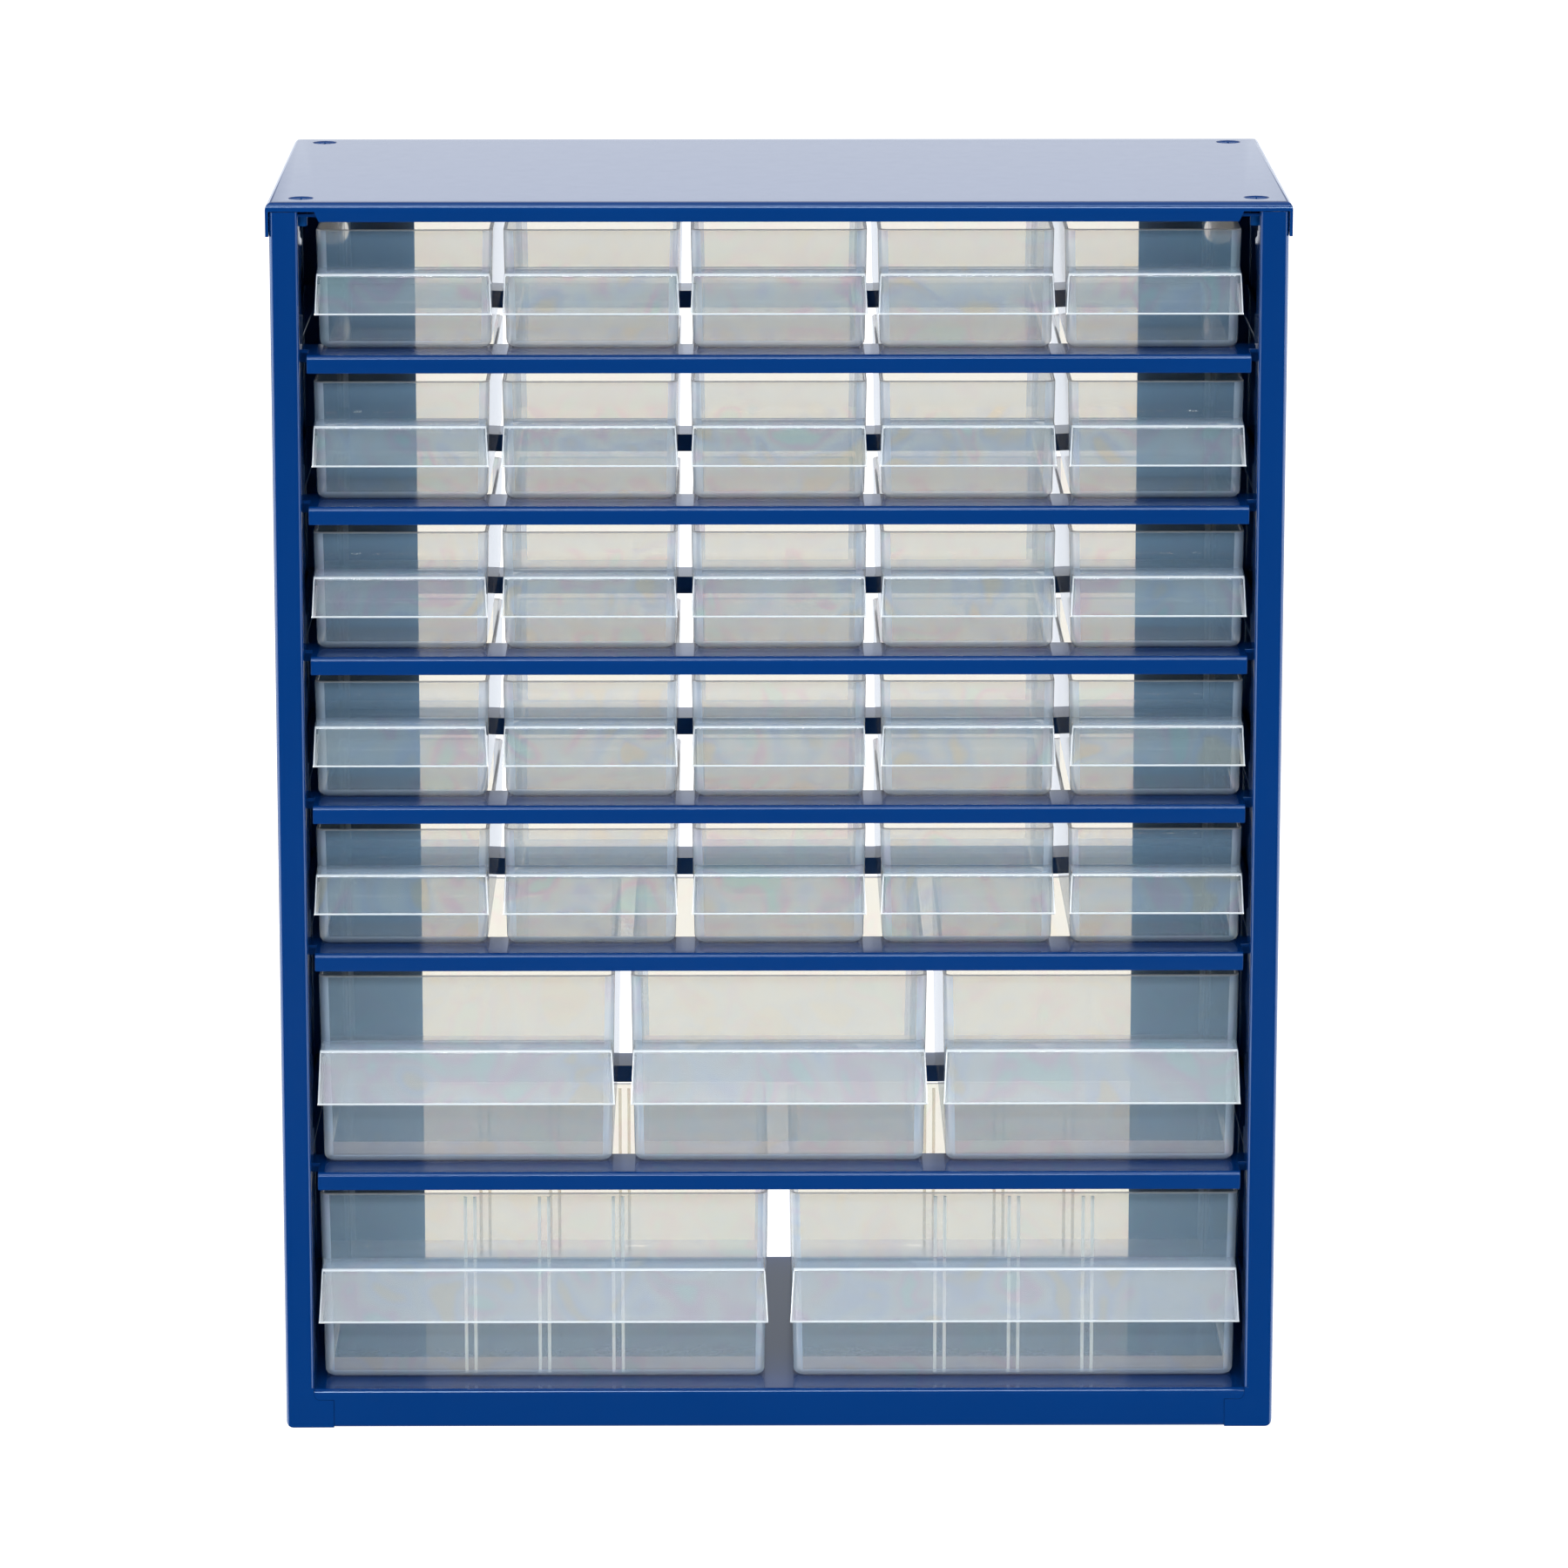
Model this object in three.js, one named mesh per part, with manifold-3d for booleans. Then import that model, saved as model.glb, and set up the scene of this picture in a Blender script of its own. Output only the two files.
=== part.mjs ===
// Drawer cabinet for small parts: a folded steel case, open at the back, with six pressed
// shelves and thirty clear plastic drawers. Millimetres, +Z up, front face towards -Y, and the
// origin at the middle of the footprint.
import * as THREE from "three";
import { mergeVertices } from "three/addons/utils/BufferGeometryUtils.js";
import Module from "manifold-3d";

const wasm = await Module();
wasm.setup();

// ---- driving dimensions ----
const width = 306;
const depth = 150;
const sheet = 0.8; // painted steel sheet
const gap = 0.3; // clearance between neighbouring pieces
const baseHeight = 12;
const gridStep = 23; // the shelves hang on a grid of this pitch
const gridSteps = 16;
const height = baseHeight + gridStep * gridSteps;

// ---- case ----
const foldRadius = 1.4; // outer radius of an ordinary fold
const topFoldRadius = 2;
const topSideLip = 10.1;
const topLip = 5.6; // front and rear lips of the top, between the side panels
const topCornerLip = 2.6; // what is left of them above the side panels
const topLipChamfer = 1.4;
const topLipSetIn = 6.5; // the full front lip ends this far inside the side panels' flanges
const frontFlange = 8.4; // side panel's flange in the front plane
const frontReturn = 11.6; // lip folded back from that flange
const toothReach = 20; // teeth of that lip, from the front plane
const toothHeight = 11;
const toothSlope = 2;
const rearFlange = 36.5;
const footReach = 137.4; // inner end of the foot tab, from the middle
const footHeight = 8.5;
const footFillet = 2;
const baseReturn = 12;
const weldStep = 1.5; // joggle beside the foot tab
const weldReach = 9; // welding flange behind the foot tab, from the tab's inner end
const keyholeRadius = 5;
const keyholeSlotRadius = 2.6;
const keyholeX = 141;
const keyholeDrop = 29;

// ---- top screws ----
const screwX = 142.8;
const screwInset = 10; // from the front and rear edges
const dimpleRadius = 4;
const dimpleDepth = 1.6;
const screwTabSetback = 3; // from the front and rear planes
const screwTabDepth = 14;
const screwTabWidth = 15;
const shankRadius = 1.7;
const shankHole = 2.1;
const screwLength = 8;

// ---- shelves ----
const shelfSetback = 0.5; // front lip behind the front plane
const shelfLip = 5.3;
const shelfLipHalf = 141.2;
const shelfHalf = 150.6;
const frontRail = 22.5;
const rearRailStart = 131; // from the front plane
const railFlange = 5.2;
const endStrip = 6;
const endFlange = 8.5;

// ---- drawers ----
const wall = 1.2;
const frontWallSetback = 12.2; // front wall behind the front plane
const drawerRear = 147; // rear wall's outer face, from the front plane
const cornerRadius = 3;
const handleLean = 2;
const cheekDrop = 4; // depth of the handle's end cheeks at the front wall
const ledgeSlope = 0.6;
const drawerTypes = {
  small: {
    count: 5, pitch: 57.4, topWidth: 53, bottomWidth: 51.6, height: 36,
    ledgeDrop: 11.3, faceHeight: 12.1, handleTop: 50.8, handleBottom: 53.4,
  },
  medium: {
    count: 3, pitch: 95.67, topWidth: 91, bottomWidth: 89, height: 59,
    ledgeDrop: 20.4, faceHeight: 16.7, handleTop: 88.6, handleBottom: 91.2,
  },
  large: {
    count: 2, pitch: 145, topWidth: 138.4, bottomWidth: 136.4, height: 59,
    ledgeDrop: 20.7, faceHeight: 16.7, handleTop: 136, handleBottom: 138.6,
    ribs: [-22.8, 0, 22.8],
  },
};
const ribWidth = 1;
const ribPitch = 2.9; // the two ribs of a pair, which hold a divider
const ribProud = 1;

// Rows from the bottom: what they hold, the grid line they stand on, and how closely the
// drawers stand together in their bays (1 is the even pitch).
const rows = [
  { type: "large", grid: 0, spread: 1 },
  { type: "medium", grid: 3, spread: 1 },
  { type: "small", grid: 6, spread: 1 },
  { type: "small", grid: 8, spread: 0.998 },
  { type: "small", grid: 10, spread: 0.996 },
  { type: "small", grid: 12, spread: 0.99 },
  { type: "small", grid: 14, spread: 0.978 },
];

const front = -depth / 2;
const rear = depth / 2;
const rearInside = rear - sheet - gap;
const sideOuter = width / 2 - sheet - gap;
const sideInner = sideOuter - sheet;
const flangeEdge = sideOuter - frontFlange;
const gridZ = (line) => baseHeight + gridStep * line;

// ---- solids ----
// Every corner is rounded to a thousandth of a millimetre, so that faces meant to be level are.
function solidOf(geometry) {
  const bare = geometry.index ? geometry.toNonIndexed() : geometry.clone();
  bare.deleteAttribute("normal");
  bare.deleteAttribute("uv");
  const corners = bare.attributes.position.array;
  corners.forEach((value, index) => { corners[index] = Math.round(value * 1000) / 1000; });
  const merged = mergeVertices(bare, 1e-4);
  return new wasm.Manifold(
    new wasm.Mesh({
      numProp: 3,
      vertProperties: merged.attributes.position.array,
      triVerts: new Uint32Array(merged.index.array),
    }),
  );
}

const union = (solids) => solids.reduce((sum, next) => sum.add(next));

function block(low, high) {
  const size = high.map((value, axis) => value - low[axis]);
  const geometry = new THREE.BoxGeometry(...size);
  geometry.translate(...high.map((value, axis) => (value + low[axis]) / 2));
  return solidOf(geometry);
}

function outline(points) {
  return new THREE.Shape(points.map(([u, v]) => new THREE.Vector2(u, v)));
}

// A shape extruded along X (drawn in Y, Z), along Y (drawn in X, Z) or along Z (drawn in X, Y),
// between two places on that axis.
function prismGeometry(axis, shape, from, to) {
  const options = { depth: to - from, bevelEnabled: false, curveSegments: 2 };
  const geometry = new THREE.ExtrudeGeometry(shape, options);
  const x = new THREE.Vector3(1, 0, 0);
  const y = new THREE.Vector3(0, 1, 0);
  const z = new THREE.Vector3(0, 0, 1);
  const turned = new THREE.Matrix4();
  if (axis === "x") turned.makeBasis(y, z, x).setPosition(from, 0, 0);
  if (axis === "y") turned.makeBasis(x, z, y.clone().negate()).setPosition(0, to, 0);
  if (axis === "z") turned.makeBasis(x, y, z).setPosition(0, 0, from);
  return geometry.applyMatrix4(turned);
}

const prism = (axis, shape, from, to) => solidOf(prismGeometry(axis, shape, from, to));

function post(radiusLow, radiusHigh, x, y, low, high, sides = 12) {
  const geometry = new THREE.CylinderGeometry(radiusHigh, radiusLow, high - low, sides);
  geometry.rotateX(Math.PI / 2);
  geometry.translate(x, y, (low + high) / 2);
  return solidOf(geometry);
}

// A section with an upright side at each end and rounded shoulders at the top.
function shouldered(half, bottom, top, radius) {
  const shape = new THREE.Shape();
  shape.moveTo(-half, bottom);
  shape.lineTo(half, bottom);
  shape.lineTo(half, top - radius);
  shape.absarc(half - radius, top - radius, radius, 0, Math.PI / 2, false);
  shape.lineTo(radius - half, top);
  shape.absarc(radius - half, top - radius, radius, Math.PI / 2, Math.PI, false);
  return shape;
}

function geometryOf(solid) {
  const mesh = solid.getMesh();
  const geometry = new THREE.BufferGeometry();
  geometry.setAttribute("position", new THREE.BufferAttribute(mesh.vertProperties, 3));
  geometry.setIndex(new THREE.BufferAttribute(mesh.triVerts, 1));
  const faceted = geometry.toNonIndexed();
  faceted.computeVertexNormals();
  return faceted;
}

// A tray, open downwards, with a rounded fold at each edge: X from -halfX to halfX, Y from y0 to y1.
function tray(halfX, y0, y1, bottom, top, radius) {
  const halfY = (y1 - y0) / 2;
  const middle = (y1 + y0) / 2;
  const shell = (inset, low) => {
    const turn = radius - inset;
    const across = shouldered(halfX - inset, low, top - inset, turn);
    const along = prismGeometry("x", shouldered(halfY - inset, low, top - inset, turn), -halfX, halfX);
    along.translate(0, middle, 0);
    return prism("y", across, y0 - 1, y1 + 1).intersect(solidOf(along));
  };
  return shell(0, bottom).subtract(shell(sheet, bottom - 1));
}

// ---- top panel: a shallow tray over the side panels ----
function lipCut(halfLength, from, to) {
  const half = width / 2 - sheet;
  const low = height - topSideLip - 1;
  const full = height - topLip;
  const corner = height - topCornerLip;
  const shape = outline([
    [-half, low], [half, low], [half, corner], [halfLength + topLipChamfer, corner],
    [halfLength, full], [-halfLength, full], [-halfLength - topLipChamfer, corner],
    [-half, corner],
  ]);
  return prism("y", shape, from, to);
}

function topPanel() {
  const frontHalf = flangeEdge - topLipSetIn;
  const rearHalf = sideOuter - rearFlange - topLipChamfer - gap;
  let panel = tray(width / 2, front, rear, height - topSideLip, height, topFoldRadius)
    .subtract(lipCut(frontHalf, front - 1, front + depth / 4))
    .subtract(lipCut(rearHalf, rear - depth / 4, rear + 1));
  const dimpleBottom = height - dimpleDepth;
  const above = 0.5;
  for (const [x, y] of screwPlaces()) {
    const cupLow = dimpleBottom - 0.6;
    const cup = post(dimpleRadius - 0.8, dimpleRadius + 0.6, x, y, cupLow, height - sheet / 2);
    const narrow = dimpleRadius - dimpleDepth;
    const cone = post(narrow, dimpleRadius + above, x, y, dimpleBottom, height + above);
    const hole = post(shankHole, shankHole, x, y, dimpleBottom - 1, height);
    panel = panel.add(cup).subtract(cone).subtract(hole);
  }
  return panel;
}

function screwPlaces() {
  const y = depth / 2 - screwInset;
  return [[-screwX, -y], [screwX, -y], [-screwX, y], [screwX, y]];
}

// A countersunk screw with a cross recess; its head sits in the dimple of the top panel.
function screw() {
  const headRadius = dimpleRadius - gap - 0.2;
  const headBottom = -dimpleDepth + gap;
  const head = post(shankRadius, headRadius, 0, 0, headBottom, -0.25, 20);
  const shank = post(shankRadius, shankRadius, 0, 0, -screwLength, headBottom + 0.1);
  const slot = block([-1.9, -0.35, -0.85], [1.9, 0.35, 1]);
  const cross = block([-0.35, -1.9, -0.85], [0.35, 1.9, 1]);
  return head.add(shank).subtract(slot).subtract(cross);
}

// ---- side panel, drawn for the right-hand side ----
// What lies between the two front flanges and above their foot tabs: X, Z outline.
function frontOpening(half, low, radius) {
  const shape = new THREE.Shape();
  const quarter = Math.PI / 2;
  shape.moveTo(radius - half, low);
  shape.lineTo(half - radius, low);
  shape.absarc(half - radius, low + radius, radius, -quarter, 0, false);
  shape.lineTo(half, height);
  shape.lineTo(-half, height);
  shape.absarc(radius - half, low + radius, radius, 2 * quarter, 3 * quarter, false);
  return shape;
}

// Plan section: front flange, outer wall and rear flange.
function sideSection() {
  const inside = foldRadius - sheet;
  const turnX = sideOuter - foldRadius;
  const turnFront = front + foldRadius;
  const turnRear = rear - foldRadius;
  const quarter = Math.PI / 2;
  const shape = new THREE.Shape();
  shape.moveTo(footReach, front);
  shape.lineTo(turnX, front);
  shape.absarc(turnX, turnFront, foldRadius, -quarter, 0, false);
  shape.lineTo(sideOuter, turnRear);
  shape.absarc(turnX, turnRear, foldRadius, 0, quarter, false);
  shape.lineTo(sideOuter - rearFlange, rear);
  shape.lineTo(sideOuter - rearFlange, rear - sheet);
  shape.lineTo(turnX, rear - sheet);
  shape.absarc(turnX, turnRear, inside, quarter, 0, true);
  shape.lineTo(sideInner, turnFront);
  shape.absarc(turnX, turnFront, inside, 0, -quarter, true);
  shape.lineTo(footReach, front + sheet);
  return shape;
}

// The lip folded back from the front flange. It has a tooth above each grid line, and a shelf's
// end enters the notch below the tooth.
function toothedReturn(top) {
  const root = front + frontReturn;
  const tip = front + toothReach;
  const points = [[front + sheet / 2, baseHeight + gap]];
  for (let line = 0; line < gridSteps; line += 1) {
    const low = gridZ(line) + gap;
    const high = low + toothHeight;
    points.push([root, low], [tip, low + toothSlope], [tip, high - toothSlope], [root, high]);
  }
  points.push([root, top], [front + sheet / 2, top]);
  return prism("x", outline(points), flangeEdge - 1, flangeEdge + sheet);
}

// What lies between an arc that rounds the flange's inner edge and the square corner outside it,
// for the skin's outer face (no inset) or its inner face.
function flangeCorner(inset, margin, top) {
  const x = flangeEdge + inset;
  const y = front + inset;
  const turnX = flangeEdge + foldRadius;
  const turnY = front + foldRadius;
  const shape = new THREE.Shape();
  shape.moveTo(x - margin, y - margin);
  shape.lineTo(turnX, y - margin);
  shape.lineTo(turnX, y);
  shape.absarc(turnX, turnY, foldRadius - inset, -Math.PI / 2, -Math.PI, true);
  shape.lineTo(x - margin, turnY);
  return prism("z", shape, baseHeight + gap, top);
}

function sidePanel() {
  const top = height - topCornerLip - gap;
  const tabTop = top - sheet;
  const opening = frontOpening(flangeEdge, footHeight, footFillet);
  let panel = prism("z", sideSection(), 0, top)
    .add(toothedReturn(top))
    .subtract(prism("y", opening, front - 1, front + toothReach + 1))
    .add(flangeCorner(sheet, sheet / 2, top))
    .subtract(flangeCorner(0, 1, top + 1));
  for (const y of [front + screwTabSetback, rear - screwTabSetback - screwTabDepth]) {
    const low = [sideOuter - screwTabWidth, y, tabTop - sheet];
    panel = panel.add(block(low, [sideOuter - sheet / 2, y + screwTabDepth, tabTop]));
  }
  for (const y of [front + screwInset, rear - screwInset]) {
    panel = panel.subtract(post(shankHole, shankHole, screwX, y, height - screwLength - 2, height));
  }
  return panel.subtract(keyhole()).subtract(bottomCorner());
}

// Round hole with a narrow slot above it, for hanging the cabinet on a screw head.
function keyhole() {
  const z = height - keyholeDrop;
  const slotTop = z + keyholeRadius + 5;
  const round = new THREE.CylinderGeometry(keyholeRadius, keyholeRadius, 6, 20);
  round.translate(keyholeX, rear, z);
  const low = [keyholeX - keyholeSlotRadius, rear - 3, z];
  return solidOf(round).add(block(low, [keyholeX + keyholeSlotRadius, rear + 3, slotTop]));
}

// The outer bottom corner of the panel is rounded off.
function bottomCorner() {
  const radius = 2;
  const shape = new THREE.Shape();
  shape.moveTo(sideOuter - radius, -1);
  shape.lineTo(sideOuter + 1, -1);
  shape.lineTo(sideOuter + 1, radius);
  shape.lineTo(sideOuter, radius);
  shape.absarc(sideOuter - radius, radius, radius, 0, -Math.PI / 2, true);
  return prism("y", shape, front - 1, rear + 1);
}

// ---- base panel: floor, front and rear lips, and returns that stand on the table ----
function basePanel() {
  const turn = foldRadius;
  const inside = foldRadius - sheet;
  const back = rearInside;
  const quarter = Math.PI / 2;
  const shape = new THREE.Shape();
  shape.moveTo(front + baseReturn, 0);
  shape.lineTo(front + baseReturn, sheet);
  shape.lineTo(front + turn, sheet);
  shape.absarc(front + turn, turn, inside, -quarter, -2 * quarter, true);
  shape.lineTo(front + sheet, baseHeight - turn);
  shape.absarc(front + turn, baseHeight - turn, inside, 2 * quarter, quarter, true);
  shape.lineTo(back - turn, baseHeight - sheet);
  shape.absarc(back - turn, baseHeight - turn, inside, quarter, 0, true);
  shape.lineTo(back - sheet, turn);
  shape.absarc(back - turn, turn, inside, 0, -quarter, true);
  shape.lineTo(back - baseReturn, sheet);
  shape.lineTo(back - baseReturn, 0);
  shape.lineTo(back - turn, 0);
  shape.absarc(back - turn, turn, foldRadius, -quarter, 0, false);
  shape.lineTo(back, baseHeight - turn);
  shape.absarc(back - turn, baseHeight - turn, foldRadius, 0, quarter, false);
  shape.lineTo(front + turn, baseHeight);
  shape.absarc(front + turn, baseHeight - turn, foldRadius, quarter, 2 * quarter, false);
  shape.lineTo(front, turn);
  shape.absarc(front + turn, turn, foldRadius, 2 * quarter, 3 * quarter, false);

  // The front lip fills the opening between the flanges, and stands on the table between the tabs.
  const lipRear = front + sheet + gap;
  const opening = frontOpening(flangeEdge - gap, footHeight + gap, footFillet - gap);
  const ends = block([-shelfHalf - 1, front - 1, -1], [shelfHalf + 1, lipRear, baseHeight + 1])
    .subtract(prism("y", opening, front - 2, lipRear + 1))
    .subtract(block([gap - footReach, front - 2, -2], [footReach - gap, lipRear + 1, footHeight + 1]));
  let panel = prism("x", shape, -shelfHalf, shelfHalf).subtract(ends);

  // A joggled flange behind each foot tab, for spot-welding the tab to it.
  const weldLow = sheet / 2;
  const weldHigh = baseHeight - sheet / 2;
  for (const side of [-1, 1]) {
    const across = (from, to) => [side * from, side * to].sort((a, b) => a - b);
    const [stepFrom, stepTo] = across(footReach - gap - weldStep, footReach - gap);
    const [tabFrom, tabTo] = across(footReach - gap - sheet, footReach + weldReach);
    panel = panel
      .add(block([stepFrom, front + sheet / 2, weldLow], [stepTo, lipRear + sheet, weldHigh]))
      .add(block([tabFrom, lipRear, weldLow], [tabTo, lipRear + sheet, weldHigh]));
  }
  return panel;
}

// The two front corners of a shelf that the side panels' flanges and returned lips take up.
function shelfCorners(low, high) {
  const behind = front + frontReturn + gap;
  return [-1, 1].map((side) => {
    const xs = [side * shelfLipHalf, side * (shelfHalf + 1)].sort((a, b) => a - b);
    return block([xs[0], front - 1, low], [xs[1], behind, high]);
  });
}

// ---- shelf: front rail, rear rail and end strips round one wide window ----
function shelf(topZ) {
  const low = topZ - endFlange;
  const flangeTop = topZ - sheet / 2;
  const lipFront = front + shelfSetback;
  const railRear = front + frontRail;
  const rearFront = front + rearRailStart;
  const spare = 1; // trimmed off again by the window

  let body = tray(shelfHalf, lipFront, rearInside, low, topZ, foldRadius);
  for (const corner of shelfCorners(low - 1, topZ + 1)) body = body.subtract(corner);
  const inside = shelfHalf - endStrip;
  const frontTrimHigh = [inside, lipFront + sheet + 1, topZ - shelfLip];
  const rearTrimLow = [-inside, rearInside - sheet - 1, low - 1];
  body = body
    .subtract(block([-inside, lipFront - 1, low - 1], frontTrimHigh))
    .subtract(block(rearTrimLow, [inside, rearInside + 1, topZ - railFlange]));

  const flangeLow = topZ - railFlange;
  const ends = inside + spare;
  body = body.add(block([-ends, railRear - sheet, flangeLow], [ends, railRear + spare, flangeTop]));
  body = body.add(block([-ends, rearFront - spare, flangeLow], [ends, rearFront + sheet, flangeTop]));
  return body.subtract(block([-inside, railRear, low - 1], [inside, rearFront, topZ + 1]));
}

// ---- drawer: tapered tub with a ledge handle; local origin under the middle of its bottom ----
function roundedRectangle(halfX, low, high, radius) {
  const shape = new THREE.Shape();
  const quarter = Math.PI / 2;
  shape.moveTo(radius - halfX, low);
  shape.lineTo(halfX - radius, low);
  shape.absarc(halfX - radius, low + radius, radius, -quarter, 0, false);
  shape.lineTo(halfX, high - radius);
  shape.absarc(halfX - radius, high - radius, radius, 0, quarter, false);
  shape.lineTo(radius - halfX, high);
  shape.absarc(radius - halfX, high - radius, radius, quarter, 2 * quarter, false);
  shape.lineTo(-halfX, low + radius);
  shape.absarc(radius - halfX, low + radius, radius, 2 * quarter, 3 * quarter, false);
  return shape;
}

// Widens a geometry along X by a straight line, from widthLow at zLow to widthHigh at zHigh.
function taper(geometry, widthNow, zLow, widthLow, zHigh, widthHigh) {
  const place = geometry.attributes.position;
  for (let i = 0; i < place.count; i += 1) {
    const share = (place.getZ(i) - zLow) / (zHigh - zLow);
    const target = widthLow + share * (widthHigh - widthLow);
    place.setX(i, (place.getX(i) * target) / widthNow);
  }
  return geometry;
}

function tub(type, inset, floorZ, topZ) {
  const yFront = front + frontWallSetback + inset;
  const yRear = front + drawerRear - inset;
  const radius = cornerRadius - inset;
  const half = type.topWidth / 2 - inset;
  const shape = roundedRectangle(half, yFront, yRear, radius);
  const options = { depth: topZ - floorZ, bevelEnabled: false, curveSegments: 1 };
  const geometry = new THREE.ExtrudeGeometry(shape, options);
  geometry.translate(0, 0, floorZ);
  const low = type.bottomWidth - 2 * inset;
  const high = type.topWidth - 2 * inset;
  return solidOf(taper(geometry, 2 * half, 0, low, type.height, high));
}

function handle(type) {
  const wallY = front + frontWallSetback + wall / 2;
  const ledgeZ = type.height - type.ledgeDrop;
  const bendY = front + handleLean;
  const bendZ = ledgeZ - ledgeSlope;
  const footZ = bendZ - type.faceHeight;
  const cheekZ = ledgeZ - wall - cheekDrop;
  const outside = outline([
    [wallY, ledgeZ], [bendY + wall / 2, bendZ], [bendY, bendZ - wall / 2], [front, footZ],
    [front + wall, footZ], [wallY, cheekZ],
  ]);
  const hollow = outline([
    [wallY + wall, ledgeZ - wall], [bendY + wall, bendZ - wall], [front + wall, footZ],
    [front + wall, footZ - wall], [wallY + wall, footZ - wall],
  ]);
  const half = type.handleTop / 2;
  const flared = (shape, from, to) => {
    const geometry = prismGeometry("x", shape, from, to);
    return solidOf(taper(geometry, type.handleTop, footZ, type.handleBottom, bendZ, type.handleTop));
  };
  return flared(outside, -half, half).subtract(flared(hollow, wall - half, half - wall));
}

function dividerRibs(type) {
  const ribs = [];
  const low = wall - 0.1;
  const high = type.height - 1.5;
  const faces = [front + frontWallSetback + wall, front + drawerRear - wall - ribProud];
  for (const centre of type.ribs ?? []) {
    for (const x of [centre - ribPitch / 2, centre + ribPitch / 2]) {
      for (const [index, y] of faces.entries()) {
        const from = index === 0 ? y - 0.1 : y;
        const to = index === 0 ? y + ribProud : y + ribProud + 0.1;
        ribs.push(block([x - ribWidth / 2, from, low], [x + ribWidth / 2, to, high]));
      }
    }
  }
  return ribs;
}

function drawer(type) {
  const outside = tub(type, 0, 0, type.height).add(handle(type));
  const shell = outside.subtract(tub(type, wall, wall, type.height + 1));
  return union([shell, ...dividerRibs(type)]);
}

// ---- the cabinet ----
const paint = { color: 0x0a3f8c, roughness: 0.3, metalness: 0 };
const plastic = { color: 0xdfe3e6, roughness: 0.25, metalness: 0, transparent: true, opacity: 0.5 };

const cabinet = new THREE.Group();

function place(name, geometry, finish, x = 0, y = 0, z = 0) {
  const mesh = new THREE.Mesh(geometry, new THREE.MeshStandardMaterial(finish));
  mesh.name = name;
  mesh.position.set(x, y, z);
  cabinet.add(mesh);
  return mesh;
}

place("top_panel", geometryOf(topPanel()), paint);
place("base_panel", geometryOf(basePanel()), paint);
const sideGeometry = geometryOf(sidePanel());
place("side_right", sideGeometry, paint);
place("side_left", sideGeometry, paint).scale.x = -1;

const screwGeometry = geometryOf(screw());
for (const [index, [x, y]] of screwPlaces().entries()) {
  place(`top_screw_${index + 1}`, screwGeometry, paint, x, y, height);
}

const drawerGeometry = {};
for (const [name, type] of Object.entries(drawerTypes)) {
  drawerGeometry[name] = geometryOf(drawer(type));
}

for (const [index, row] of rows.entries()) {
  const type = drawerTypes[row.type];
  if (index > 0) place(`shelf_${index}`, geometryOf(shelf(gridZ(row.grid))), paint);
  for (let column = 1; column <= type.count; column += 1) {
    const x = (column - (type.count + 1) / 2) * type.pitch * row.spread;
    const name = row.type === "small"
      ? `small_drawer_row${index - 1}_${column}`
      : `${row.type}_drawer_${column}`;
    place(name, drawerGeometry[row.type], plastic, x, 0, gridZ(row.grid) + gap);
  }
}

export default cabinet;
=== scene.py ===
"""Steel cabinet with clear drawers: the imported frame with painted-metal and moulded-plastic looks.

The cabinet's lengths are in millimetres, and MM turns them into the frame's metres. The studio
and the camera are in metres.
"""
import math

import bmesh
import bpy
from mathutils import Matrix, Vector


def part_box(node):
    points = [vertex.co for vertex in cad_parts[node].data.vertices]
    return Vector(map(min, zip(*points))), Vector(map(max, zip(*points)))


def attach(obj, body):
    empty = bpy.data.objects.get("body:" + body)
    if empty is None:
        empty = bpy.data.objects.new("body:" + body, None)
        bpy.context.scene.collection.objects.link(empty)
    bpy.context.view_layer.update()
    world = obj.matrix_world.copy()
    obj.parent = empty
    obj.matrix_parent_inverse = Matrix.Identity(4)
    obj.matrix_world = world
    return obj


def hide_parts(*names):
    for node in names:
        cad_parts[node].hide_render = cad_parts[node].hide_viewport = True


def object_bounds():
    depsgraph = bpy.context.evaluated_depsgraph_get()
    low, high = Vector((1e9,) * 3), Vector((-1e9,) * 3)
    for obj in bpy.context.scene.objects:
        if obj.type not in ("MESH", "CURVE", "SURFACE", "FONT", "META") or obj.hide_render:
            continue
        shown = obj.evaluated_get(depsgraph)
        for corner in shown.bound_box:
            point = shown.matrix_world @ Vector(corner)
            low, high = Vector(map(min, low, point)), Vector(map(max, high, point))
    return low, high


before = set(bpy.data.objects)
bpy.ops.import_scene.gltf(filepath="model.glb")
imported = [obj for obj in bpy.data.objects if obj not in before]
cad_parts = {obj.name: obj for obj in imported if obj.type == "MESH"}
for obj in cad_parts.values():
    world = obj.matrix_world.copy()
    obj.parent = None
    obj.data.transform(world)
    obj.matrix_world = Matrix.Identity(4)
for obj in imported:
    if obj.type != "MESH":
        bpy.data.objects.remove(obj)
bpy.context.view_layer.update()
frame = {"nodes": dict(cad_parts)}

MM = 0.001

# ---- the view: a studio camera in front, a little above the cabinet ----
CAMERA_DISTANCE = 2.3
CAMERA_ELEVATION = 12.3  # degrees
CAMERA_YAW = 0.34  # degrees
CAMERA_LENS = 168.6
CAMERA_AIM_SIDE = 0.0019  # right of the cabinet's middle
CAMERA_AIM_HEIGHT = 0.1866

# ---- the studio ----
FLOOR_HALF = 25.0
SKY = (1.06, 1.12, 1.22)
# How bright the sky is at a height, which goes from 0 at the horizon to 1 straight up.
SKY_LEVELS = [(0.15, 1.0), (0.19, 1.0), (0.26, 0.60), (0.36, 0.45), (0.60, 0.85), (1.0, 1.0)]
DIM_SIDE = (0.030, 0.036, 0.050)
BACKDROP = (1.4, 1.4, 1.4)  # what the camera sees directly

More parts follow.
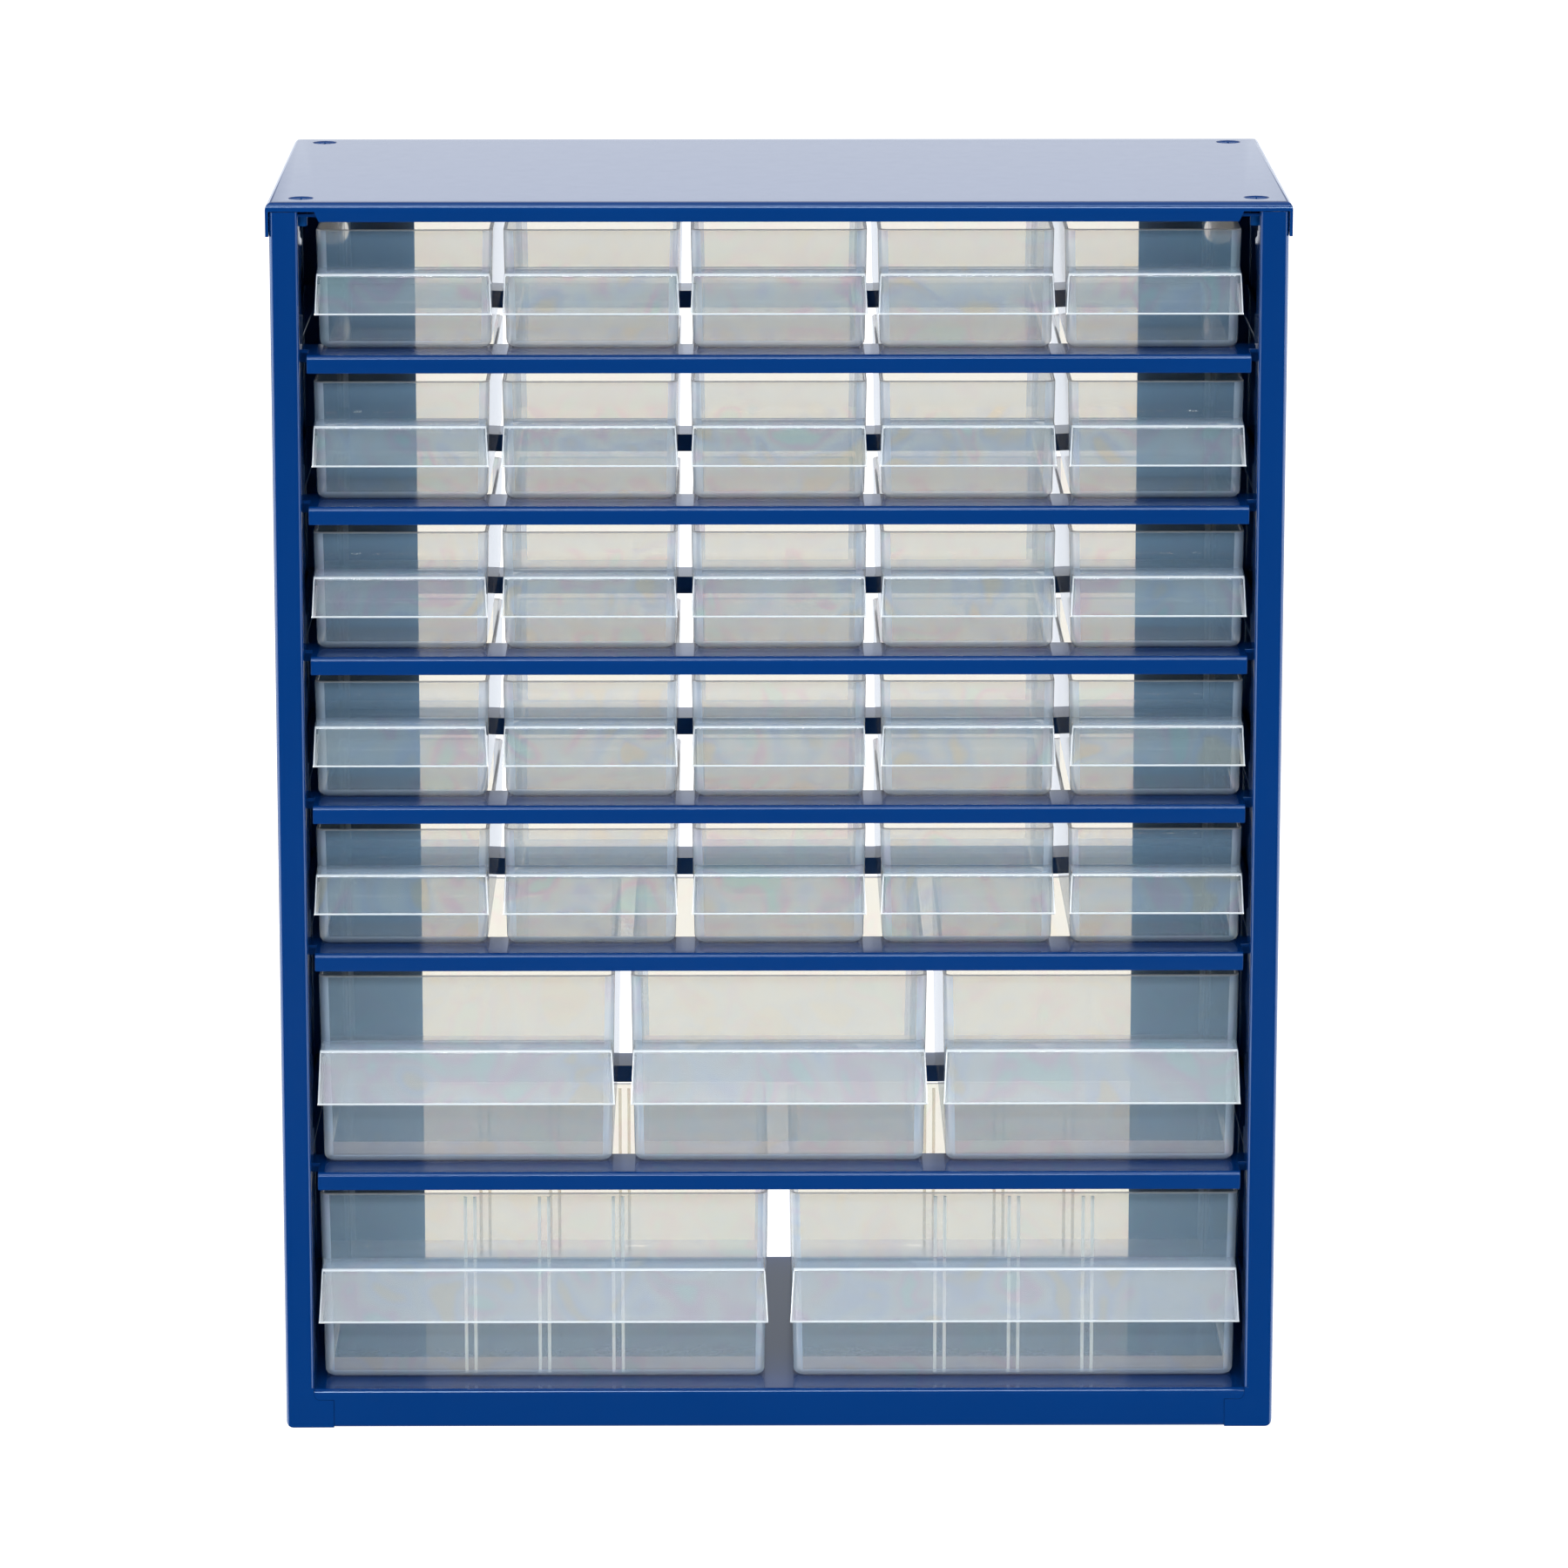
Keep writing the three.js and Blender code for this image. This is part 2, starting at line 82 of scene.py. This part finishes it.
# ---- painted sheet ----
PAINT_FILM = 0.15  # the enamel's build on every face, which closes the seams a little
PANEL_BEVEL = 0.16
SCREW_BEVEL = 0.10
BEVEL_ANGLE = 38.0  # degrees, less than which an edge belongs to a fold
WELD_GAP = 0.002

# ---- drawers ----
WALL = 1.2
FRONT_WALL = 12.2  # front wall behind the handle's foot
CORNER_RADIUS = 3.0
BOTTOM_RADIUS = 2.4
REAR_SCOOP = 5.0  # rounding between the floor and the rear wall
SIDE_SCOOP = 1.4  # rounding of the other three inside edges of the floor
RIM_RADIUS = 0.4
HANDLE_LEAN = 2.0  # of the face's top behind its foot
LEDGE_SLOPE = 0.6  # fall of the ledge from the wall to the bend
LEDGE_TILT = 3.0  # degrees
BEND_RADIUS = 1.0
CHEEK_DROP = 4.0  # height of an end cheek where it meets the wall
# The next two lengths size the painted highlight along the handle's foot and down each end of its
# face.
FOOT_HIGHLIGHT = 0.5  # height of the bright line along the handle's foot
END_HIGHLIGHT = 0.4  # width of the bright line at each end of the handle
BEND_STEPS = 6
CORNER_STEPS = 6
ROUND_STEPS = 4
RIM_STEPS = 3

# What one drawer size has that its box doesn't say.
DRAWER_SIZES = {
    "small": {"ledge_drop": 11.3, "face_height": 12.1, "draft": 0.7, "flare": 0.6, "ribs": []},
    "medium": {"ledge_drop": 20.4, "face_height": 16.7, "draft": 1.0, "flare": 0.8, "ribs": []},
    "large": {"ledge_drop": 20.7, "face_height": 16.7, "draft": 1.0, "flare": 1.0,
              "ribs": [-22.8, 0.0, 22.8]},
}
HANDLE_OVERHANG = 0.2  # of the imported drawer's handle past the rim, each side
# Of the material slots, the second and the fourth are painted highlight: the whitest plastic on the
# handle's bend, foot and ends and on the front ribs, and a lighter plastic on the rounded corners,
# the bottom rounding, the ledge and the cheeks. Both also stand for the moulding's whiter look seen
# along its thickness.
CLEAR, EDGE_HIGHLIGHT, RIM, BAND_HIGHLIGHT, HANDLE, FLOOR = range(6)  # material slots of a drawer
RIB_PITCH = 2.9  # between the two ribs of a pair
RIB_WIDTH = 1.0
RIB_PROUD = 1.0
RIB_SHOULDER = 0.7  # where the rib's rounded crest begins
RIB_OVERLAP = 0.1  # into the wall that the rib stands on
RIB_FOOT = 0.2  # into the floor
RIB_TOP_GAP = 1.6  # from the rim


# ---------------------------------------------------------------- camera, lights, floor

def aim(thing, target):
    direction = Vector(target) - thing.location
    thing.rotation_mode = "QUATERNION"
    thing.rotation_quaternion = direction.to_track_quat("-Z", "Y")


def make_camera():
    data = bpy.data.cameras.new("camera")
    data.lens = CAMERA_LENS
    data.sensor_width = 36.0
    data.clip_start = 0.05
    data.clip_end = 100.0
    camera = bpy.data.objects.new("camera", data)
    bpy.context.collection.objects.link(camera)
    low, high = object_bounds()
    target = Vector(((low[0] + high[0]) / 2 + CAMERA_AIM_SIDE, 0.0, CAMERA_AIM_HEIGHT))
    elevation = math.radians(CAMERA_ELEVATION)
    yaw = math.radians(CAMERA_YAW)
    back = Vector((-math.sin(yaw) * math.cos(elevation), -math.cos(yaw) * math.cos(elevation),
                   math.sin(elevation)))
    camera.location = target + back * CAMERA_DISTANCE
    aim(camera, target)
    bpy.context.scene.camera = camera


def area_light(name, place, target, size, radiance, mirrored=True):
    """A softbox of a given brightness. It lights the object and, unless told otherwise, shows in
    the gloss, but the camera never sees the box itself."""
    data = bpy.data.lights.new(name, "AREA")
    data.shape = "RECTANGLE"
    data.size, data.size_y = size
    data.energy = math.pi * size[0] * size[1] * radiance
    light = bpy.data.objects.new(name, data)
    bpy.context.collection.objects.link(light)
    light.location = place
    light.visible_camera = False
    light.visible_glossy = mirrored
    aim(light, target)


def make_lights():
    middle = (0.0, -0.05, 0.2)
    area_light("overhead", (0.0, -0.85, 1.45), middle, (2.0, 0.32), 8.0)
    area_light("front", (0.0, -2.40, 1.45), middle, (2.2, 0.32), 19.0)
    area_light("side_left", (-1.65, -0.20, 0.05), (0.0, -0.20, 0.05), (1.9, 1.9), 4.5)
    area_light("side_right", (1.65, -0.20, 0.05), (0.0, -0.20, 0.05), (1.9, 1.9), 3.5)
    area_light("low_fill", (0.0, -0.42, 0.03), (0.0, -0.02, 0.10), (0.9, 0.12), 3.5, False)


def fill_ramp(ramp, stops):
    """Gives a colour ramp its stops, each a position and a colour."""
    elements = ramp.color_ramp.elements
    while len(elements) < len(stops):
        elements.new(0.5)
    for element, (position, colour) in zip(elements, stops):
        element.position = position
        element.color = (*colour, 1.0)


def make_world():
    """White behind and beside the object, and dim on the side that its front faces mirror. What
    the upward faces mirror, low in the back, is brighter than what the shelves mirror above it."""
    world = bpy.data.worlds.new("studio")
    bpy.context.scene.world = world
    world.use_nodes = True
    nodes, links = world.node_tree.nodes, world.node_tree.links
    nodes.clear()
    output = nodes.new("ShaderNodeOutputWorld")
    background = nodes.new("ShaderNodeBackground")
    coordinates = nodes.new("ShaderNodeTexCoord")
    split = nodes.new("ShaderNodeSeparateXYZ")
    spread = nodes.new("ShaderNodeMapRange")
    spread.interpolation_type = "SMOOTHSTEP"
    spread.inputs["From Min"].default_value = -0.75
    spread.inputs["From Max"].default_value = 0.35
    height = nodes.new("ShaderNodeValToRGB")
    fill_ramp(height, [(place, [part * level for part in SKY]) for place, level in SKY_LEVELS])
    shade = nodes.new("ShaderNodeMix")
    shade.data_type = "RGBA"
    shade.inputs["A"].default_value = (*DIM_SIDE, 1.0)
    sight = nodes.new("ShaderNodeLightPath")
    seen = nodes.new("ShaderNodeMix")
    seen.data_type = "RGBA"
    seen.inputs["B"].default_value = (*BACKDROP, 1.0)
    links.new(coordinates.outputs["Generated"], split.inputs["Vector"])
    links.new(split.outputs["Y"], spread.inputs["Value"])
    links.new(split.outputs["Z"], height.inputs["Fac"])
    links.new(height.outputs["Color"], shade.inputs["B"])
    links.new(spread.outputs["Result"], shade.inputs["Factor"])
    links.new(shade.outputs["Result"], seen.inputs["A"])
    links.new(sight.outputs["Is Camera Ray"], seen.inputs["Factor"])
    links.new(seen.outputs["Result"], background.inputs["Color"])
    links.new(background.outputs["Background"], output.inputs["Surface"])


def make_floor():
    low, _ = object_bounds()
    half = FLOOR_HALF
    mesh = bpy.data.meshes.new("studio_floor")
    corners = [(-half, -half, 0), (half, -half, 0), (half, half, 0), (-half, half, 0)]
    mesh.from_pydata(corners, [], [(0, 1, 2, 3)])
    floor = bpy.data.objects.new("studio_floor", mesh)
    bpy.context.collection.objects.link(floor)
    floor.location = (0.0, 0.0, low[2] - 0.0002)
    floor.visible_glossy = False
    material = bpy.data.materials.new("floor_white")
    material.use_nodes = True
    shader = material.node_tree.nodes["Principled BSDF"]
    shader.inputs["Base Color"].default_value = (0.12, 0.12, 0.12, 1.0)
    shader.inputs["Roughness"].default_value = 0.9
    shader.inputs["Specular IOR Level"].default_value = 0.0
    shader.inputs["Emission Color"].default_value = (1.0, 1.0, 1.0, 1.0)
    shader.inputs["Emission Strength"].default_value = 1.2
    mesh.materials.append(material)


# ---------------------------------------------------------------- materials

def new_material(name):
    """A material with a Principled shader, its nodes and its links."""
    material = bpy.data.materials.new(name)
    material.use_nodes = True
    return material, material.node_tree.nodes, material.node_tree.links


def object_noise(nodes, links, scale, detail):
    """Noise that stays with the object as it moves."""
    coordinates = nodes.new("ShaderNodeTexCoord")
    noise = nodes.new("ShaderNodeTexNoise")
    noise.inputs["Scale"].default_value = scale
    noise.inputs["Detail"].default_value = detail
    links.new(coordinates.outputs["Object"], noise.inputs["Vector"])
    return noise


def paint_material(name, deep, light, roughness, ior):
    """Gloss stoved enamel: a slow colour drift, and the fine ripple of sprayed paint."""
    material, nodes, links = new_material(name)
    shader = nodes["Principled BSDF"]
    shader.inputs["IOR"].default_value = ior
    shader.inputs["Specular Tint"].default_value = (0.60, 0.80, 1.0, 1.0)
    drift = object_noise(nodes, links, 14.0, 3.0)
    blend = nodes.new("ShaderNodeMix")
    blend.data_type = "RGBA"
    blend.inputs["A"].default_value = (*deep, 1.0)
    blend.inputs["B"].default_value = (*light, 1.0)
    links.new(drift.outputs["Fac"], blend.inputs["Factor"])
    links.new(blend.outputs["Result"], shader.inputs["Base Color"])

    patch = object_noise(nodes, links, 220.0, 2.0)
    gloss = nodes.new("ShaderNodeMapRange")
    gloss.inputs["To Min"].default_value = roughness - 0.03
    gloss.inputs["To Max"].default_value = roughness + 0.04
    links.new(patch.outputs["Fac"], gloss.inputs["Value"])
    links.new(gloss.outputs["Result"], shader.inputs["Roughness"])

    ripple = object_noise(nodes, links, 900.0, 1.0)
    bump = nodes.new("ShaderNodeBump")
    bump.inputs["Strength"].default_value = 0.05
    bump.inputs["Distance"].default_value = 0.0001
    links.new(ripple.outputs["Fac"], bump.inputs["Height"])
    links.new(bump.outputs["Normal"], shader.inputs["Normal"])
    return material


def plastic_material(name, haze, body, tint, stress):
    """Milky polypropylene, surface by surface. Haze is the share of light the moulding scatters;
    the rest passes straight through, tinted. Under a clear gloss lie faint pastel patches, as
    strong as the stress that the moulding left there."""
    material, nodes, links = new_material(name)
    output = nodes["Material Output"]
    cloud = nodes["Principled BSDF"]
    cloud.inputs["Roughness"].default_value = 0.6
    cloud.inputs["Specular IOR Level"].default_value = 0.0
    clear = nodes.new("ShaderNodeBsdfTransparent")
    lit_behind = nodes.new("ShaderNodeBsdfTranslucent")
    gloss = nodes.new("ShaderNodeBsdfGlossy")
    gloss.inputs["Roughness"].default_value = 0.06

    # The patches differ from drawer to drawer, by its index.
    patches = object_noise(nodes, links, 42.0, 1.5)
    patches.noise_dimensions = "4D"
    patches.inputs["Distortion"].default_value = 1.6
    which = nodes.new("ShaderNodeObjectInfo")
    links.new(which.outputs["Object Index"], patches.inputs["W"])
    ramp = nodes.new("ShaderNodeValToRGB")
    pastel = [(0.34, (0.92, 1.0, 0.96)), (0.40, (1.0, 0.88, 0.93)), (0.45, (1.0, 0.99, 0.96)),
              (0.54, (0.99, 1.0, 1.0)), (0.60, (0.92, 0.94, 1.0)), (0.66, (1.0, 0.95, 0.86))]
    fill_ramp(ramp, pastel)
    links.new(patches.outputs["Fac"], ramp.inputs["Fac"])

    stains = [(cloud.inputs["Base Color"], body), (lit_behind.inputs["Color"], body),
              (clear.inputs["Color"], tint)]
    for socket, colour in stains:
        stained = nodes.new("ShaderNodeMix")
        stained.data_type = "RGBA"
        stained.blend_type = "MULTIPLY"
        stained.inputs["Factor"].default_value = stress
        stained.inputs["A"].default_value = (*colour, 1.0)
        links.new(ramp.outputs["Color"], stained.inputs["B"])
        links.new(stained.outputs["Result"], socket)

    def mixed(first, second, share=None):
        mix = nodes.new("ShaderNodeMixShader")
        if share is not None:
            mix.inputs["Fac"].default_value = share
        links.new(first, mix.inputs[1])
        links.new(second, mix.inputs[2])
        return mix

    scatter = mixed(cloud.outputs["BSDF"], lit_behind.outputs["BSDF"], 0.4)
    layer = mixed(clear.outputs["BSDF"], scatter.outputs["Shader"], haze)
    coated = mixed(layer.outputs["Shader"], gloss.outputs["BSDF"])

    # The gloss grows towards grazing angles alike on both faces of a wall.
    facing = nodes.new("ShaderNodeLayerWeight")
    facing.inputs["Blend"].default_value = 0.5
    steep = nodes.new("ShaderNodeMath")
    steep.operation = "POWER"
    steep.inputs[1].default_value = 5.0
    shine = nodes.new("ShaderNodeMapRange")
    shine.inputs["To Min"].default_value = 0.04
    links.new(facing.outputs["Facing"], steep.inputs[0])
    links.new(steep.outputs["Value"], shine.inputs["Value"])
    links.new(shine.outputs["Result"], coated.inputs["Fac"])
    links.new(coated.outputs["Shader"], output.inputs["Surface"])
    return material


# ---------------------------------------------------------------- painted sheet metal

def flatten(thing):
    """Smooths the shading over folds while the large faces beside them stay flat."""
    normals = thing.modifiers.new("normals", "WEIGHTED_NORMAL")
    normals.keep_sharp = False
    normals.weight = 90


def soften(node, bevel_width):
    """Rounds a CAD node's cut edges and smooths its folds, by modifiers only."""
    for polygon in node.data.polygons:
        polygon.use_smooth = True
    weld = node.modifiers.new("weld", "WELD")
    weld.merge_threshold = WELD_GAP * MM
    film = node.modifiers.new("paint_film", "DISPLACE")
    film.strength = PAINT_FILM * MM
    film.mid_level = 0.0
    bevel = node.modifiers.new("bevel", "BEVEL")
    bevel.width = bevel_width * MM
    bevel.segments = 2
    bevel.limit_method = "ANGLE"
    bevel.angle_limit = math.radians(BEVEL_ANGLE)
    flatten(node)


def is_drawer(name):
    return "_drawer_" in name


def finish_metal(paint, screw_shaded_paint):
    for name, node in frame["nodes"].items():
        if is_drawer(name):
            continue
        is_screw = name.startswith("top_screw")
        soften(node, SCREW_BEVEL if is_screw else PANEL_BEVEL)
        node.data.materials.clear()
        node.data.materials.append(screw_shaded_paint if is_screw else paint)


# ---------------------------------------------------------------- drawers

def rounded_outline(half, front, rear, radius, z):
    """Points round a rectangle with rounded corners, at one height."""
    points = []
    corners = [(half - radius, front + radius, -90), (half - radius, rear - radius, 0),
               (radius - half, rear - radius, 90), (radius - half, front + radius, 180)]
    for x, y, start in corners:
        for step in range(CORNER_STEPS + 1):
            angle = math.radians(start + 90 * step / CORNER_STEPS)
            points.append((x + radius * math.cos(angle), y + radius * math.sin(angle), z))
    return points


class MeshMaker:
    """Collects rings and faces in millimetres into one bmesh."""

    def __init__(self):
        self.bm = bmesh.new()

    def ring(self, points):
        return [self.bm.verts.new((x * MM, y * MM, z * MM)) for x, y, z in points]

    def face(self, corners, slot=CLEAR, smooth=True):
        face = self.bm.faces.new(corners)
        face.material_index = slot
        face.smooth = smooth
        return face

    def bridge(self, low, high, slot=CLEAR, corner_slot=None):
        """Joins two rings. The rounded corners of an outline can take a slot of their own."""
        count = len(low)
        for i in range(count):
            j = (i + 1) % count
            in_corner = corner_slot is not None and i % (CORNER_STEPS + 1) != CORNER_STEPS
            self.face((low[i], low[j], high[j], high[i]), corner_slot if in_corner else slot)


def tub(maker, size):
    """The drawer's box, from under its bottom up over the rim and down to the inside floor."""
    height, rear = size["height"], size["depth"]
    half_top = size["top_width"] / 2

    def half_at(z):
        return half_top - size["draft"] * (1 - z / height)

    def outside(inset, z):
        radius = CORNER_RADIUS - 0.5 * inset
        return rounded_outline(half_at(z) - inset, FRONT_WALL + inset, rear - inset, radius, z)

    def inside(side_inset, rear_inset, z):
        total = WALL + side_inset
        return rounded_outline(half_at(z) - total, FRONT_WALL + total, rear - WALL - rear_inset,
                               CORNER_RADIUS - WALL, z)

    # Each ring of points comes with the slot of the faces that join it to the ring before.
    rings = []
    for step in range(ROUND_STEPS + 1):
        angle = math.radians(90 * step / ROUND_STEPS)
        inset = BOTTOM_RADIUS * (1 - math.sin(angle))
        rings.append((outside(inset, BOTTOM_RADIUS * (1 - math.cos(angle))), BAND_HIGHLIGHT))
    rings.append((outside(0.0, height - RIM_RADIUS), CLEAR))
    for step in range(1, RIM_STEPS + 1):
        angle = math.radians(90 * step / RIM_STEPS)
        z = height - RIM_RADIUS * (1 - math.sin(angle))
        rings.append((outside(RIM_RADIUS * (1 - math.cos(angle)), z), RIM))
    for step in range(RIM_STEPS + 1):
        angle = math.radians(90 * step / RIM_STEPS)
        drop = RIM_RADIUS * (1 - math.cos(angle))
        sideways = -RIM_RADIUS * (1 - math.sin(angle))
        rings.append((inside(sideways, sideways, height - drop), RIM))
    for step in range(ROUND_STEPS + 1):
        angle = math.radians(90 * step / ROUND_STEPS)
        rise = REAR_SCOOP * (1 - math.sin(angle))
        under = max(SIDE_SCOOP - rise, 0.0)  # depth below the start of the side rounding
        side_inset = SIDE_SCOOP - math.sqrt(SIDE_SCOOP ** 2 - under ** 2)
        rear_inset = REAR_SCOOP * (1 - math.cos(angle))
        rings.append((inside(side_inset, rear_inset, WALL + rise), FLOOR if step else CLEAR))

    made = [maker.ring(points) for points, _ in rings]
    maker.face(list(reversed(made[0])), FLOOR, smooth=False)
    # The bottom rounding and the rounded upright corners, outside and in, take the lighter plastic:
    # painted highlight, which also stands for the moulding's whiter look seen along its thickness.
    for index in range(1, len(made)):
        slot = rings[index][1]
        maker.bridge(made[index - 1], made[index], slot, BAND_HIGHLIGHT if slot == CLEAR else None)
    maker.face(made[-1], FLOOR, smooth=False)


def arc(centre, radius, start, end, steps):
    """Points (y, z) round a centre, from one angle to another in degrees."""
    angles = [math.radians(start + (end - start) * i / steps) for i in range(steps + 1)]
    return [(centre[0] + radius * math.cos(a), centre[1] + radius * math.sin(a)) for a in angles]


def offset_path(points, distance):
    """The path moved to its left by a distance, corner by corner (points are y, z pairs)."""
    moved = []
    for i, point in enumerate(points):
        before = Vector(points[max(i - 1, 0)])
        after = Vector(points[min(i + 1, len(points) - 1)])
        along = (after - before).normalized()
        moved.append((point[0] - along.y * distance, point[1] + along.x * distance))
    return moved


def handle(maker, size):
    """Ledge, leaning face and end cheeks, open underneath. The bend, the foot and the ends of
    the face take the whitest plastic and the ledge and the cheeks a lighter one: painted highlight,
    which also stands for the moulding's whiter look seen along its thickness."""
    ledge = size["height"] - size["ledge_drop"]
    join_y = FRONT_WALL + WALL / 2
    bend_z = ledge - LEDGE_SLOPE
    foot_z = bend_z - size["face_height"]
    lean = math.degrees(math.atan2(HANDLE_LEAN, size["face_height"]))
    centre = (HANDLE_LEAN + BEND_RADIUS, bend_z - BEND_RADIUS)
    above_foot = (HANDLE_LEAN * FOOT_HIGHLIGHT / size["face_height"], foot_z + FOOT_HIGHLIGHT)
    outer = [(join_y, ledge)] + arc(centre, BEND_RADIUS, 90 - LEDGE_TILT, 180 - lean, BEND_STEPS)
    outer += [above_foot, (0.0, foot_z)]
    inner = offset_path(outer, WALL)
    inner[0] = (join_y, ledge - WALL)
    inner[-1] = (WALL, foot_z)
    cheek = (join_y, ledge - WALL - CHEEK_DROP)
    half_top = size["top_width"] / 2 - size["flare"]

    def column(points, sign, inset):
        flared = [(half_top + size["flare"] * (bend_z - z) / size["face_height"], y, z)
                  for y, z in points]
        return maker.ring([(sign * (half - inset), y, z) for half, y, z in flared])

    out = [column([*outer, cheek], -1, 0), column(outer, -1, END_HIGHLIGHT),
           column(outer, 1, END_HIGHLIGHT), column([*outer, cheek], 1, 0)]
    into = [column([*inner, cheek], -1, WALL), column([*inner, cheek], 1, WALL)]
    last = len(outer) - 1
    # Painted highlight: the whitest plastic goes on most of the bend, the line along the foot and
    # the two end strips of the face, the lighter plastic on the ledge.
    for i in range(last):
        on_top = i < 2
        in_highlight = 2 <= i <= 5 or i == last - 1  # most of the bend, and the line along the foot
        middle = EDGE_HIGHLIGHT if in_highlight else BAND_HIGHLIGHT if on_top else HANDLE
        end = BAND_HIGHLIGHT if on_top else EDGE_HIGHLIGHT
        for left, slot in ((0, end), (1, middle), (2, end)):
            corners = (out[left][i], out[left][i + 1], out[left + 1][i + 1], out[left + 1][i])
            maker.face(corners, slot)
        maker.face((into[1][i], into[1][i + 1], into[0][i + 1], into[0][i]), middle)
    maker.face((out[0][last], into[0][last], into[1][last], out[3][last], out[2][last],
                out[1][last]), EDGE_HIGHLIGHT)
    maker.face((out[0][0], out[1][0], out[2][0], out[3][0], into[1][0], into[0][0]), HANDLE)
    # The flat cheeks and their linings take the lighter plastic, a painted highlight; the strip
    # under each cheek takes the whitest.
    for skin, lining, order in ((out[0], into[0], -1), (out[3], into[1], 1)):
        maker.face(skin[::order], BAND_HIGHLIGHT, smooth=False)
        maker.face(lining[::-order], BAND_HIGHLIGHT, smooth=False)
        maker.face((skin[last], lining[last], lining[-1], skin[-1])[::-order], EDGE_HIGHLIGHT)
        maker.face((skin[0], skin[-1], lining[-1], lining[0])[::-order], HANDLE)


def divider_ribs(maker, size):
    """Pairs of upright ribs on the front and rear walls, which hold a divider between them."""
    low, high = WALL - RIB_FOOT, size["height"] - RIB_TOP_GAP
    half = RIB_WIDTH / 2
    # The ribs on the front wall take the whitest plastic, a painted highlight; those on the rear
    # wall stay clear.
    walls = [(FRONT_WALL + WALL - RIB_OVERLAP, 1, EDGE_HIGHLIGHT),
             (size["depth"] - WALL + RIB_OVERLAP, -1, CLEAR)]
    for centre in size["ribs"]:
        for x in (centre - RIB_PITCH / 2, centre + RIB_PITCH / 2):
            for y, sign, slot in walls:
                shoulder = y + sign * RIB_SHOULDER
                crest = y + sign * (RIB_PROUD + RIB_OVERLAP)
                plan = [(x - half, y), (x - half, shoulder), (x, crest), (x + half, shoulder),
                        (x + half, y)]
                if sign > 0:
                    plan.reverse()
                bottom = maker.ring([(px, py, low) for px, py in plan])
                top = maker.ring([(px, py, high) for px, py in plan])
                maker.bridge(bottom, top, slot)
                maker.face(top, slot)
                maker.face(list(reversed(bottom)), slot)


def drawer_mesh(kind, size):
    """The moulding's mesh, with its front at y = 0, its middle at x = 0 and its foot at z = 0."""
    maker = MeshMaker()
    tub(maker, size)
    handle(maker, size)
    divider_ribs(maker, size)
    bmesh.ops.recalc_face_normals(maker.bm, faces=maker.bm.faces)
    mesh = bpy.data.meshes.new(f"{kind}_drawer_shell")
    maker.bm.to_mesh(mesh)
    maker.bm.free()
    return mesh


def size_of(kind, node):
    """A drawer's measures in millimetres, from its size class and its packed box."""
    low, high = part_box(node)
    width, depth, height = [(b - a) / MM for a, b in zip(low, high)]
    return dict(DRAWER_SIZES[kind], height=height, depth=depth,
                top_width=width - 2 * HANDLE_OVERHANG)


def make_drawers(plastics):
    """One moulding for each packed drawer. Drawers of a size share a mesh and its materials."""
    meshes = {}
    for index, node in enumerate(filter(is_drawer, frame["nodes"])):
        kind = node.split("_")[0]
        if kind not in meshes:
            meshes[kind] = drawer_mesh(kind, size_of(kind, node))
            for plastic in plastics[kind]:
                meshes[kind].materials.append(plastic)
        piece = bpy.data.objects.new(node.replace("_drawer", "_tray"), meshes[kind])
        bpy.context.collection.objects.link(piece)
        low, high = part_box(node)
        piece.location = ((low[0] + high[0]) / 2, low[1], low[2])
        piece.pass_index = index
        flatten(piece)
        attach(piece, node)
        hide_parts(node)


# ---------------------------------------------------------------- the scene

make_camera()
make_world()
make_lights()
make_floor()

blue = paint_material("blue_enamel", (0.0003, 0.0200, 0.103), (0.0006, 0.0236, 0.118), 0.10, 1.5)
# The screw heads take the enamel in a lighter blue, rougher and with a low IOR that takes away most
# of its reflection; the missing reflection is painted shade, for heads that sit in the shade of
# their dimples.
screw_shaded_blue = paint_material("screw_shaded_enamel", (0.001, 0.036, 0.15), (0.002, 0.042, 0.17), 0.3, 1.1)
# The whitest plastic, for the handle's bend, foot and ends and the front ribs: painted highlight,
# which also stands for the moulding's whiter look seen along its thickness.
edge_highlight = plastic_material("plastic_edge_highlight", 0.66, (0.84, 0.90, 0.94), (0.97, 0.97, 0.96), 0.0)
rim = plastic_material("plastic_rim", 0.50, (0.60, 0.63, 0.66), (0.85, 0.83, 0.82), 0.0)
# A lighter plastic, for the rounded corners, the bottom rounding, the ledge and the handle's cheeks:
# painted highlight, which also stands for the moulding's whiter look seen along its thickness.
band_highlight = plastic_material("plastic_band_highlight", 0.34, (0.56, 0.74, 0.94), (0.98, 0.95, 0.91), 0.5)
# Each list has one plastic for each material slot, in the slots' order.
thin = [
    plastic_material("clear_plastic", 0.155, (0.36, 0.64, 0.98), (1.0, 0.960, 0.885), 0.15),
    edge_highlight, rim, band_highlight,
    plastic_material("plastic_handle", 0.10, (0.62, 0.79, 0.94), (1.0, 0.975, 0.945), 0.8),
    plastic_material("plastic_floor", 0.14, (0.56, 0.72, 0.90), (1.0, 0.965, 0.92), 0.9),
]
thick = [
    plastic_material("clear_plastic_thick", 0.175, (0.42, 0.66, 0.92), (1.0, 0.955, 0.875), 0.2),
    edge_highlight, rim, band_highlight,
    plastic_material("plastic_handle_thick", 0.23, (0.72, 0.81, 0.90), (1.0, 0.97, 0.94), 0.6),
    plastic_material("plastic_floor_thick", 0.36, (0.74, 0.75, 0.84), (1.0, 0.96, 0.93), 0.8),
]

finish_metal(blue, screw_shaded_blue)
make_drawers({"small": thin, "medium": thick, "large": thick})

scene = bpy.context.scene
scene.view_settings.view_transform = "Standard"
scene.cycles.transparent_max_bounces = 40
